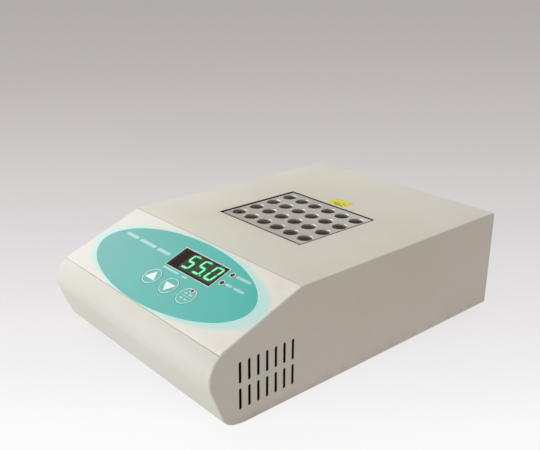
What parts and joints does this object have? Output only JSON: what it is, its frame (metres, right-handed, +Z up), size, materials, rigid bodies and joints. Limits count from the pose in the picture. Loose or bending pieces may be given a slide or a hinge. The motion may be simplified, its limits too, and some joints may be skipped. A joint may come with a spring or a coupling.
{
  "type": "dry block heater",
  "caption": "Bench-top dry block heater: sloping control panel with display and press keys, and a lift-out aluminium block drilled with round tube wells.",
  "frame": {"origin": "centre of the bounding box's bottom, on the plane the rubber feet stand on", "axes": "+X to the right seen from the control panel's side, +Y from the control panel to the rear, +Z up"},
  "size_m": [0.203, 0.2987, 0.0879],
  "materials": {
    "housing": "fine-textured warm white moulding",
    "base_steel": "zinc-plated sheet steel",
    "rear_plate": "powder-coated sheet",
    "rubber_black": "matt",
    "screw_steel": "zinc-plated",
    "label_yellow": "blank printed vinyl",
    "label_grey": "blank printed vinyl",
    "overlay": "satin printed film, teal oval on off-white",
    "key_film": "satin printed film",
    "window": "dark smoked acrylic",
    "led_red": "tinted LED lens",
    "led_dark": "unlit LED lens",
    "led_pink": "tinted LED lens",
    "digit_module": "potted display module",
    "pcb": "green solder mask",
    "black_plastic": "fine-textured moulding",
    "block_aluminium": "milled, satin anodised",
    "plate_aluminium": "milled",
    "silicone": "silicone heater mat",
    "sheet_steel": "bare sheet",
    "ceramic": "unglazed steatite",
    "liner_sheet": "black-painted sheet",
    "insulation": "needled glass-fibre felt",
    "contact_brass": "nickel-plated brass",
    "fuse_glass": "glass tube with metal caps",
    "dark_iron": "varnished laminations",
    "copper_coil": "taped copper winding",
    "heatsink": "black anodised extrusion",
    "connector_white": "nylon",
    "capacitor_yellow": "film capacitor case",
    "chip_black": "moulded package",
    "wire_blue": "PVC-insulated wire",
    "wire_red": "silicone-insulated wire",
    "ribbon_grey": "flat ribbon cable",
    "probe_steel": "stainless"
  },
  "bodies": {
    "case": {"top_housing": "housing", "base_plate": "base_steel", "rear_panel": "rear_plate", "rubber_feet": "rubber_black", "foot_screws": "screw_steel", "base_screws": "screw_steel", "rear_panel_screws": "screw_steel", "hot_surface_label": "label_yellow", "rating_plate": "label_grey", "keypad_overlay": "overlay", "display_window": "window", "heating_led": "led_red", "set_temp_led": "led_dark", "digit_display": "digit_module", "display_board": "pcb", "tact_switches": "black_plastic", "display_board_screws": "screw_steel", "heater_plate": "plate_aluminium", "heater_mat": "silicone", "clamp_plate": "sheet_steel", "clamp_screws": "screw_steel", "plate_standoffs": "ceramic", "temperature_sensor": "probe_steel", "thermal_cutout": "black_plastic", "well_liner": "liner_sheet", "insulation_jacket": "insulation", "insulation_pad": "insulation", "power_inlet": "black_plastic", "inlet_pins": "contact_brass", "inlet_screws": "screw_steel", "switch_frame": "black_plastic", "switch_terminals": "contact_brass", "control_board": "pcb", "board_standoffs": "contact_brass", "board_screws": "screw_steel", "transformer_core": "dark_iron", "transformer_coil": "copper_coil", "transformer_strap": "sheet_steel", "strap_screws": "screw_steel", "triac": "chip_black", "triac_heatsink": "heatsink", "heatsink_screws": "screw_steel", "terminal_block": "connector_white", "filter_capacitor": "capacitor_yellow", "control_chip": "chip_black", "board_connectors": "connector_white", "earth_stud": "contact_brass", "mains_wires": "wire_blue", "heater_leads": "wire_red", "ribbon_cable": "ribbon_grey"},
    "up_key": {"up_key": "key_film"},
    "down_key": {"down_key": "key_film"},
    "set_key": {"set_key": "key_film", "set_key_lens": "led_pink"},
    "heating_block": {"heating_block": "block_aluminium", "block_base": "block_aluminium"},
    "fuse_drawer": {"fuse_drawer": "black_plastic", "fuses": "fuse_glass"},
    "power_rocker": {"power_rocker": "black_plastic"}
  },
  "joints": [
    {"name": "up_key_press", "type": "slide", "parent": "case", "child": "up_key", "axis": [0, 0.3518, -0.9361], "range_m": [0, 0.0005]},
    {"name": "down_key_press", "type": "slide", "parent": "case", "child": "down_key", "axis": [0, 0.3518, -0.9361], "range_m": [0, 0.0005]},
    {"name": "set_key_press", "type": "slide", "parent": "case", "child": "set_key", "axis": [0, 0.3518, -0.9361], "range_m": [0, 0.0005]},
    {"name": "block_lift", "type": "slide", "parent": "case", "child": "heating_block", "axis": [0, 0, 1], "range_m": [0, 0.06]},
    {"name": "fuse_drawer_slide", "type": "slide", "parent": "case", "child": "fuse_drawer", "axis": [0, 1, 0], "range_m": [0, 0.024]},
    {"name": "power_rocker_tilt", "type": "hinge", "parent": "case", "child": "power_rocker", "pos_m": [-0.008, 0.14265, 0.041], "axis": [1, 0, 0], "range_deg": [-20, 0]}
  ]
}
